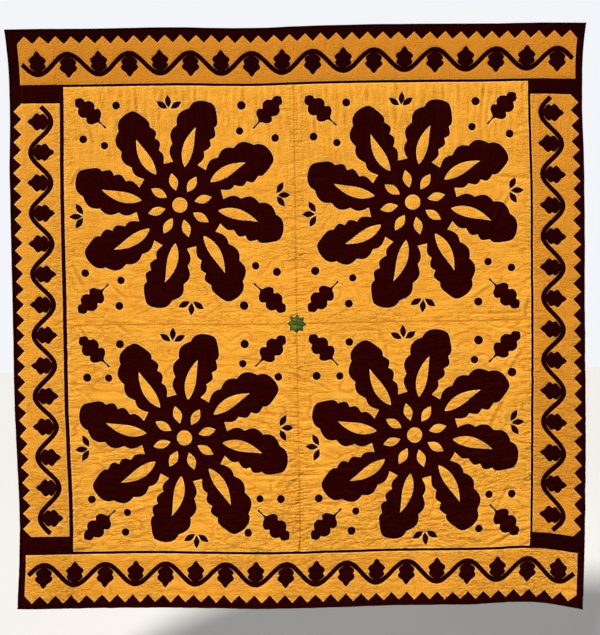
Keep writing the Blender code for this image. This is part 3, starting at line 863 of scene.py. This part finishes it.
CELL = 0.002
MAP_MARGIN = 0.02
LAST_CELL = 1.001
FAR = 1.0
LINE_REACH = 1
LINE_DITCH = 0.0009
SEAM_HALF_WIDTH = 0.0028
SEAM_DITCH = 0.0012
SEAM_COVERED = 0.7
QUILTING_ROWS = (0.013, 0.030)
ROW_DITCH = 0.0005
PUFF = 0.0011
PUFF_REACH = 4
PRESSED_UNDER = 0.0012
SEWN_STIFFNESS = 0.35

# Level puckers beside the upright seams
PUCKER_PITCH = 0.0115
PUCKER_REACH = 0.045
PUCKER_RISE = 0.0018
PUCKER_LEAST = 0.5
PUCKER_BEND = 1.4
PUCKER_MEAN = 0.6
PUCKER_SPREAD = 0.8

# Level crinkles, which grow towards the hem, the right and the seams
LOWER_START = 0.35
LOWER_SPAN = 1.55
LOWER_EASE = 1.3
LEVEL_LEAST = 0.18
LEVEL_GAIN_LOWER = 0.80
LEVEL_GAIN_RIGHT = 0.14
LEVEL_GAIN_SEAM = 0.4
LEVEL_MOST = 1.05
CRINKLE_RISE = 0.00132
CRINKLE_TROUGH = 0.0022
CRINKLE_RIDGE = 0.5
TROUGH_SHARPNESS = 0.18
RIDGE_OFFSET = 1.6

# Upright drag lines below the top strip, and loose rumples all over
DRAG_REACH = 0.30
DRAG_START = 0.04
DRAG_ABOVE = 0.4
DRAG_RISE = 0.00121
RUMPLE_RISE = 0.00099
RUMPLE_GAIN_LOWER = 0.00055
SMALL_WAVE = 0.0016
BROAD_WAVE = 0.0022

# Painted highlight on the ridges and painted shade in the troughs, fine creasing in patches, and
# painted shade on the borders
TONE_REACH = 4
TONE_RISE = 0.0008
PATCH_MEAN = 0.75
PATCH_SPREAD = 0.6
PATCH_RANGE = (0.15, 1.2)
FINE_DRAG = 0.6
FINE_DRAG_LEAST = 0.15
BORDER_PAINTED_SHADE = {"top": 0.80, "bottom": 0.25, "left": 0.20, "right": 0.60}

# Each kind of unevenness, by its seed and the size of its cells in metres
Unevenness = namedtuple("Unevenness", "seed across down")
PUCKER_WANDER = Unevenness(11, 0.09, 0.05)
PUCKER_STRENGTH = Unevenness(12, 0.05, 0.08)
CRINKLES = Unevenness(13, 0.032, 0.0105)
CRINKLE_TROUGHS = Unevenness(19, 0.058, 0.023)
DRAG_LINES = Unevenness(17, 0.012, 0.10)
LOOSE_RUMPLES = Unevenness(14, 0.055, 0.035)
FINE_PATCHES = Unevenness(18, 0.11, 0.09)
SMALL_WAVES = Unevenness(15, 0.16, 0.11)
BROAD_WAVES = Unevenness(16, 0.33, 0.30)
SPARE_CELLS = 4
CELLS_TO_SOFTEN = 5
UNEVENNESS_GAIN = 1.5

# The main creases, each a trough with a ridge along its lower side, turned in degrees from level
CREASE_RIDGE = 0.7
CREASE_BOW = 0.25
CREASE_LENGTHS = 0.8
CREASE_WIDTHS = 3
Crease = namedtuple("Crease", "across depth length turn width rise")
CREASES = [Crease(*row) for row in (
    (-0.865, 0.581, 0.07, 120, 0.0062, 0.0021), (-0.806, 0.417, 0.08, 75, 0.0056, 0.0018),
    (-0.720, 0.613, 0.12, 60, 0.0081, 0.0024), (-0.865, 0.965, 0.10, 65, 0.0081, 0.0026),
    (-0.702, 1.037, 0.07, 45, 0.0062, 0.0023), (-0.626, 0.300, 0.14, 86, 0.0068, 0.0018),
    (-0.532, 0.315, 0.11, 99, 0.0062, 0.0016), (-0.395, 0.270, 0.07, 90, 0.0050, 0.0016),
    (-0.207, 0.285, 0.11, 88, 0.0068, 0.0016), (-0.059, 0.652, 0.08, 2, 0.0056, 0.0018),
    (0.387, 0.300, 0.18, 92, 0.0099, 0.0024), (0.348, 0.421, 0.08, 88, 0.0056, 0.0018),
    (0.728, 0.300, 0.14, 95, 0.0068, 0.0018), (0.861, 0.605, 0.14, 5, 0.0087, 0.0024),
    (0.865, 0.433, 0.12, 170, 0.0068, 0.0018), (0.790, 0.742, 0.16, 118, 0.0087, 0.0035),
    (0.055, 0.589, 0.10, 2, 0.0062, 0.0021), (0.720, 1.047, 0.10, 145, 0.0068, 0.0021),
    (0.787, 1.136, 0.26, 1, 0.0056, 0.0023), (0.888, 1.114, 0.08, 100, 0.0068, 0.0024),
    (0.340, 0.988, 0.09, 88, 0.0062, 0.0016), (-0.845, 1.194, 0.07, 55, 0.0068, 0.0023),
    (-0.685, 1.184, 0.08, 35, 0.0062, 0.0021), (-0.356, 1.329, 0.11, 88, 0.0056, 0.0019),
    (-0.751, 1.329, 0.08, 60, 0.0068, 0.0021), (-0.076, 1.755, 0.22, 1, 0.0062, 0.0032),
    (-0.117, 1.513, 0.15, 3, 0.0074, 0.0021), (-0.153, 1.669, 0.09, 50, 0.0074, 0.0023),
    (-0.094, 1.728, 0.13, -3, 0.0056, 0.0021), (-0.677, 1.618, 0.10, 40, 0.0074, 0.0019),
    (0.117, 1.724, 0.28, 1, 0.0068, 0.0032), (0.031, 1.755, 0.10, 0, 0.0056, 0.0026),
    (0.157, 1.626, 0.17, -2, 0.0074, 0.0021), (0.035, 1.540, 0.11, 3, 0.0068, 0.0021),
    (0.833, 1.348, 0.17, 120, 0.0087, 0.0024), (0.763, 1.544, 0.17, 117, 0.0093, 0.0032),
    (0.724, 1.728, 0.13, 10, 0.0074, 0.0024), (0.794, 1.857, 0.11, 120, 0.0074, 0.0023),
    (0.826, 2.010, 0.18, 160, 0.0081, 0.0024), (0.340, 1.278, 0.07, 85, 0.0056, 0.0016),
)]

map_across = numpy.arange(-HALF_WIDTH - MAP_MARGIN, HALF_WIDTH + MAP_MARGIN, CELL)
map_depth = numpy.arange(-MAP_MARGIN, DROP + MAP_MARGIN, CELL)
across_grid, depth_grid = numpy.meshgrid(map_across, map_depth)


def softened(cells, reach):
    """A map averaged three times over a square this many cells either way."""
    for _ in range(3):
        for axis in (0, 1):
            ends = [(0, 0), (0, 0)]
            ends[axis] = (reach + 1, reach)
            sums = numpy.cumsum(numpy.pad(cells, ends, mode="edge"), axis=axis, dtype=numpy.float64)
            span = 2 * reach + 1
            count = cells.shape[axis]
            upper = numpy.take(sums, range(span, span + count), axis=axis)
            lower = numpy.take(sums, range(count), axis=axis)
            cells = (upper - lower) / span
    return cells


def painted(outlines):
    """The cells of the map that lie inside some outlines."""
    edges = outline_edges(outlines)
    inside = numpy.zeros(across_grid.shape, dtype=bool)
    low, high = numpy.searchsorted(map_depth, (edges[0][:, 1].min(), edges[0][:, 1].max()))
    for row in range(low, high):
        stops = crossings(edges, map_depth[row])
        inside[row] = numpy.searchsorted(stops, map_across) % 2 == 1
    return inside


def soft_noise(unevenness):
    """Smooth uneven values from about -1 to 1, over cells of these sizes."""
    seed, cell_across, cell_down = unevenness
    draw = numpy.random.default_rng(seed)
    columns = int(2 * (HALF_WIDTH + MAP_MARGIN) / cell_across) + SPARE_CELLS
    rows = int((DROP + 2 * MAP_MARGIN) / cell_down) + SPARE_CELLS
    values = draw.uniform(-1, 1, (rows, columns))
    column_place = (map_across - map_across[0]) / cell_across
    row_place = (map_depth - map_depth[0]) / cell_down
    columns_read = numpy.array([
        numpy.interp(column_place, numpy.arange(columns), row) for row in values])
    whole = numpy.array([
        numpy.interp(row_place, numpy.arange(rows), column) for column in columns_read.T]).T
    reach = max(1, int(min(cell_across, cell_down) / CELL / CELLS_TO_SOFTEN))
    return softened(whole, reach) * UNEVENNESS_GAIN


def trough_section(over, ridge):
    """A trough at 0 with a lower ridge beside it."""
    return numpy.exp(-over ** 2) - ridge * numpy.exp(-(over - RIDGE_OFFSET) ** 2)


in_field = (across_grid > FIELD_LEFT) & (across_grid < FIELD_RIGHT)
in_field &= (depth_grid > FIELD_TOP) & (depth_grid < FIELD_BOTTOM)
dark_cloth = numpy.where(in_field, 0.0, 1.0)
layers = numpy.zeros(across_grid.shape)
for shape in sewn_shapes:
    inside = painted(shape.outlines)
    dark_cloth[inside] = 1.0 if shape.dark else 0.0
    layers[inside] = shape.layer
# The sewn-edge line cuts a ditch in the relief and carries the painted edge highlight and shade of the
# cloth colours
blurred = softened(dark_cloth, LINE_REACH)
sewn_line = 4 * blurred * (1 - blurred)
pressed_once = softened((layers > 0).astype(float), LINE_REACH)
pressed_twice = softened((layers > 1).astype(float), LINE_REACH)

in_seam_rows = (depth_grid > FIELD_TOP) & (depth_grid < FIELD_BOTTOM)
in_seam_columns = (across_grid > FIELD_LEFT) & (across_grid < FIELD_RIGHT)
from_upright = numpy.where(in_seam_rows, numpy.abs(across_grid - SEAM_ACROSS), FAR)
from_level = numpy.where(in_seam_columns, numpy.abs(depth_grid - SEAM_DEPTH), FAR)
from_binding = numpy.minimum(
    numpy.abs(numpy.abs(across_grid) - (HALF_WIDTH - BINDING_WIDTH)),
    numpy.minimum(
        numpy.abs(depth_grid - BINDING_WIDTH), numpy.abs(depth_grid - DROP + BINDING_WIDTH)))
from_seam = numpy.minimum(numpy.minimum(from_upright, from_level), from_binding)
# The seam line cuts a ditch in the relief and carries painted shade in the cloth colours
seam_line = numpy.exp(-(from_seam / SEAM_HALF_WIDTH) ** 2)
seam_line *= 1 - pressed_once * SEAM_COVERED
# Painted shade on the borders, heaviest at the top and right, standing in for light that falls off
# there
soiling = numpy.zeros(across_grid.shape)
for border in BORDERS:
    on_border = (across_grid > border.left) & (across_grid < border.right)
    on_border &= (depth_grid > border.top) & (depth_grid < border.bottom)
    soiling[on_border] = BORDER_PAINTED_SHADE[border.side]
soiling = softened(soiling, LINE_REACH)

near_line = softened(numpy.maximum(sewn_line, seam_line), PUFF_REACH)
relief = PUFF * (1 - near_line / near_line.max()) - LINE_DITCH * sewn_line - SEAM_DITCH * seam_line

from_strips = numpy.minimum(
    numpy.abs(across_grid - strip_left), numpy.abs(across_grid - strip_right))
from_sewing = numpy.minimum(from_upright, from_strips)
for row in QUILTING_ROWS:
    quilted = numpy.exp(-((from_sewing - row) / SEAM_HALF_WIDTH) ** 2)
    quilted += numpy.exp(-((from_level - row) / SEAM_HALF_WIDTH) ** 2)
    relief -= ROW_DITCH * quilted * (1 - pressed_once)
near_upright = numpy.exp(-(from_sewing / PUCKER_REACH) ** 2)
wander = soft_noise(PUCKER_WANDER)
strength = numpy.clip(soft_noise(PUCKER_STRENGTH) * PUCKER_SPREAD + PUCKER_MEAN, 0, 1)
level_puckers = numpy.sin(2 * numpy.pi * (depth_grid / PUCKER_PITCH + wander * PUCKER_BEND))
lower = numpy.clip((depth_grid - LOWER_START) / LOWER_SPAN, 0, 1) ** LOWER_EASE
pucker_rise = PUCKER_RISE * (PUCKER_LEAST + (1 - PUCKER_LEAST) * lower)
relief += pucker_rise * near_upright * strength * level_puckers

level_share = LEVEL_LEAST + LEVEL_GAIN_LOWER * lower * (1 + LEVEL_GAIN_RIGHT * across_grid)
level_share = numpy.clip(level_share + LEVEL_GAIN_SEAM * near_upright, 0, LEVEL_MOST)
below_top_strip = numpy.clip((depth_grid - FIELD_TOP) / DRAG_START, 0, 1)
upright_share = numpy.exp(-((depth_grid - FIELD_TOP) / DRAG_REACH) ** 2)
upright_share *= DRAG_ABOVE + (1 - DRAG_ABOVE) * below_top_strip
creased = CRINKLE_RISE * level_share * soft_noise(CRINKLES)
over = soft_noise(CRINKLE_TROUGHS) / TROUGH_SHARPNESS
creased -= CRINKLE_TROUGH * level_share * trough_section(over, CRINKLE_RIDGE)
creased += DRAG_RISE * upright_share * soft_noise(DRAG_LINES)
creased += (RUMPLE_RISE + RUMPLE_GAIN_LOWER * lower) * soft_noise(LOOSE_RUMPLES)
creased *= 1 - SEWN_STIFFNESS * pressed_once
for crease in CREASES:
    turn = math.radians(crease.turn)
    reach = crease.length * CREASE_LENGTHS + crease.width * CREASE_WIDTHS
    rows = slice(*numpy.searchsorted(map_depth, (crease.depth - reach, crease.depth + reach)))
    columns = slice(*numpy.searchsorted(map_across, (crease.across - reach, crease.across + reach)))
    aside = across_grid[rows, columns] - crease.across
    below = depth_grid[rows, columns] - crease.depth
    along = (aside * math.cos(turn) + below * math.sin(turn)) / (crease.length / 2)
    over = (below * math.cos(turn) - aside * math.sin(turn)) / crease.width + CREASE_BOW * along ** 2
    creased[rows, columns] -= crease.rise * numpy.exp(-along ** 4) * trough_section(over, CREASE_RIDGE)

whole = relief + creased
# Painted highlight where the relief stands above its surroundings, painted shade where it sinks below
raised = numpy.clip(0.5 + (whole - softened(whole, TONE_REACH)) / (2 * TONE_RISE), 0, 1)
patches = PATCH_MEAN + PATCH_SPREAD * soft_noise(FINE_PATCHES)
level_creasing = level_share * numpy.clip(patches, *PATCH_RANGE)
upright_creasing = FINE_DRAG * upright_share + FINE_DRAG_LEAST
waves = SMALL_WAVE * soft_noise(SMALL_WAVES) + BROAD_WAVE * soft_noise(BROAD_WAVES)
carried = {
    "sewn_line": sewn_line, "seam_line": seam_line, "raised": raised, "soiling": soiling,
    "level_creasing": level_creasing, "upright_creasing": upright_creasing,
}


def read_map(cells, across, depth):
    """Values of a map between its cells."""
    column = numpy.clip((across - map_across[0]) / CELL, 0, len(map_across) - LAST_CELL)
    row = numpy.clip((depth - map_depth[0]) / CELL, 0, len(map_depth) - LAST_CELL)
    left = column.astype(int)
    above = row.astype(int)
    right_share = column - left
    below_share = row - above
    upper = cells[above, left] * (1 - right_share) + cells[above, left + 1] * right_share
    lower = cells[above + 1, left] * (1 - right_share) + cells[above + 1, left + 1] * right_share
    return upper * (1 - below_share) + lower * below_share


# The hang of the whole quilt from its top edge, in a few soft upright folds.
# Its side edges draw in a little below the top, and the hem runs slightly uneven.

EDGE_LIFT = 0.0006
LAYER_ROLL = 0.00065
BACK_SHARE = 0.6

Section = namedtuple("Section", "depth left right")
SECTIONS = (
    Section(0.000, -1.137, 1.137),
    Section(0.125, -1.124, 1.123),
    Section(0.280, -1.1185, 1.1194),
    Section(0.600, -1.120, 1.1248),
    Section(1.000, -1.115, 1.122),
    Section(1.460, -1.1087, 1.1194),
    Section(2.030, -1.0934, 1.108),
    Section(DROP, -1.1036, 1.096),
)
Edge = namedtuple("Edge", "across top_lift bottom_lift")
EDGES = (
    Edge(-1.12, -0.0030, 0.0082),
    Edge(-0.80, -0.0015, 0.0050),
    Edge(-0.48, 0.0012, 0.0025),
    Edge(-0.14, -0.0045, 0.0005),
    Edge(0.00, 0.0000, 0.0001),
    Edge(0.45, 0.0042, 0.0046),
    Edge(0.70, 0.0035, 0.0066),
    Edge(0.95, 0.0045, 0.0109),
    Edge(1.12, 0.0025, -0.0110),
)
Fold = namedtuple("Fold", "across half_width top middle bottom")
FOLDS = (
    Fold(-1.06, 0.26, 0.002, 0.006, 0.011),
    Fold(-0.62, 0.30, 0.001, -0.005, -0.007),
    Fold(-0.14, 0.32, -0.002, 0.005, 0.008),
    Fold(0.40, 0.30, 0.003, -0.004, -0.007),
    Fold(0.86, 0.26, -0.002, 0.006, -0.006),
    Fold(1.14, 0.20, 0.002, 0.001, 0.018),
)


def fold_forward(across, depth):
    """How far the soft folds bring the cloth forward."""
    forward = numpy.zeros_like(across)
    levels = numpy.array((0.0, DROP / 2, DROP))
    for fold in FOLDS:
        distance = numpy.clip(numpy.abs(across - fold.across) / fold.half_width, 0, 1)
        swell = 0.5 + 0.5 * numpy.cos(numpy.pi * distance)
        forward += swell * numpy.interp(depth, levels, (fold.top, fold.middle, fold.bottom))
    return forward


for cut in cut_pieces:
    data = cut.piece.data
    places = numpy.empty(len(data.vertices) * 3, dtype=numpy.float32)
    data.vertices.foreach_get("co", places)
    across, layer, height = places.reshape(-1, 3).astype(numpy.float64).T
    depth = -height
    line = read_map(sewn_line, across, depth)
    rise = read_map(relief, across, depth)
    crease = read_map(creased, across, depth)
    if cut.layer == 0:
        side = numpy.clip(layer / (CLOTH_THICKNESS / 2), -1, 1)
        if cut.piece.name.startswith(("quilted", "pieced")):
            rise = rise - PRESSED_UNDER * read_map(pressed_once, across, depth) * (side < 0)
        rise = rise * numpy.where(side > 0, BACK_SHARE, 1.0)
        crease = crease * numpy.where(side > 0, BACK_SHARE, 1.0)
    else:
        side = -numpy.ones_like(layer)
        rise = rise + cut.layer * (EDGE_LIFT + LAYER_ROLL * (1 - line))
        if cut.layer == 1:
            rise = rise - EDGE_LIFT * 2 * read_map(pressed_twice, across, depth)
    left = on_soft_curve(SECTIONS, "depth", "left", depth)
    right = on_soft_curve(SECTIONS, "depth", "right", depth)
    top_lift = on_soft_curve(EDGES, "across", "top_lift", across)
    bottom_lift = on_soft_curve(EDGES, "across", "bottom_lift", across)
    hung = numpy.empty((len(across), 3))
    hung[:, 0] = left + (right - left) * (across + HALF_WIDTH) / (2 * HALF_WIDTH)
    hung[:, 1] = layer + side * rise - crease
    hung[:, 1] -= fold_forward(across, depth) + read_map(waves, across, depth)
    hung[:, 2] = top_lift + (bottom_lift - top_lift) * depth / DROP - depth
    data.vertices.foreach_set("co", hung.astype(numpy.float32).ravel())
    for words, cells in carried.items():
        values = read_map(cells, across, depth)
        # The painted border shade is kept to the front
        if words == "soiling":
            values = values * (layer <= 0)
        attribute = data.attributes.new(words, "FLOAT", "POINT")
        attribute.data.foreach_set("value", values.astype(numpy.float32))
    data.update()
    data.set_sharp_from_angle(angle=SHARP_ANGLE)

# The pale studio, with a wide plain floor well below the hem and pale air all round.
# One soft sun stands high in front on the left, and weak lamps fill the front and the back.

FLOOR_HEIGHT = -2.62
FLOOR_SIZE = 40.0
FLOOR_COLOUR = (0.50, 0.49, 0.475, 1)
FLOOR_ROUGHNESS = 0.9
AIR_COLOUR = (0.95, 0.96, 1.0, 1)
AIR_BEHIND = 0.75
AIR_BEHIND_SPREAD = (-0.1, 0.5)
AIR_SEEN = 0.58
AIR_ALL_ROUND = 0.20
SUN_STRENGTH = 4.9
SUN_BREADTH = math.radians(12)
SUN_TRAVEL = (0.286, 0.46, -0.84)
SUN_COLOUR = (1.0, 0.97, 0.92)
CAMERA_PLACE = (0.008, -3.2, -1.139)
CAMERA_ROLL = 0.0096
CAMERA_LENS = 46.4
SENSOR_WIDTH = 36.0

mesh = bmesh.new()
bmesh.ops.create_grid(
    mesh, size=FLOOR_SIZE / 2, x_segments=1, y_segments=1,
    matrix=Matrix.Translation((0, 0, FLOOR_HEIGHT)))
floor_mesh = bpy.data.meshes.new("studio_floor")
mesh.to_mesh(floor_mesh)
mesh.free()
floor_paint = bpy.data.materials.new("floor_paint")
floor_paint.use_nodes = True
floor_shader = floor_paint.node_tree.nodes["Principled BSDF"]
floor_shader.inputs["Base Color"].default_value = FLOOR_COLOUR
floor_shader.inputs["Roughness"].default_value = FLOOR_ROUGHNESS
floor_mesh.materials.append(floor_paint)
floor = bpy.data.objects.new("studio_floor", floor_mesh)
bpy.context.collection.objects.link(floor)

world = bpy.data.worlds.new("studio_air")
world.use_nodes = True
tree = world.node_tree
air = tree.nodes["Background"]
air.inputs["Color"].default_value = AIR_COLOUR
seen_directly = tree.nodes.new("ShaderNodeLightPath").outputs["Is Camera Ray"]
direction = tree.nodes.new("ShaderNodeSeparateXYZ")
tree.links.new(tree.nodes.new("ShaderNodeTexCoord").outputs["Generated"], direction.inputs[0])
behind = spread(tree, direction.outputs[1], *AIR_BEHIND_SPREAD)
air_strength = math_node(
    tree, "MAXIMUM", math_node(tree, "MULTIPLY", behind, AIR_BEHIND),
    math_node(tree, "MULTIPLY", seen_directly, AIR_SEEN))
tree.links.new(math_node(tree, "ADD", air_strength, AIR_ALL_ROUND), air.inputs["Strength"])
scene = bpy.context.scene
scene.world = world
scene.view_settings.view_transform = "Standard"

sun = bpy.data.lights.new("high_sun", "SUN")
sun.energy = SUN_STRENGTH
sun.angle = SUN_BREADTH
sun.color = SUN_COLOUR
high_sun = bpy.data.objects.new("high_sun", sun)
high_sun.rotation_euler = Vector(SUN_TRAVEL).to_track_quat("-Z", "Y").to_euler()
bpy.context.collection.objects.link(high_sun)

Lamp = namedtuple("Lamp", "name place target size spread power colour")
LAMPS = (
    Lamp("front_lamp", (-0.4, -3.0, -1.6), (0.0, 0, -1.5), 1.6, 60, 1.8, (1.0, 0.98, 0.95)),
    Lamp("back_lamp", (0.6, 3.4, 0.6), (0, 0, -1.2), 2.5, 180, 15, (1.0, 1.0, 1.0)),
)
for lamp in LAMPS:
    light = bpy.data.lights.new(lamp.name, "AREA")
    light.size = lamp.size
    light.spread = math.radians(lamp.spread)
    light.energy = lamp.power
    light.color = lamp.colour
    thing = bpy.data.objects.new(lamp.name, light)
    thing.location = lamp.place
    aim = Vector(lamp.target) - Vector(lamp.place)
    thing.rotation_euler = aim.to_track_quat("-Z", "Y").to_euler()
    bpy.context.collection.objects.link(thing)

camera_data = bpy.data.cameras.new("camera")
camera_data.lens = CAMERA_LENS
camera_data.sensor_width = SENSOR_WIDTH
camera = bpy.data.objects.new("camera", camera_data)
camera.location = CAMERA_PLACE
camera.rotation_euler = (math.radians(90), CAMERA_ROLL, 0)
bpy.context.collection.objects.link(camera)
scene.camera = camera
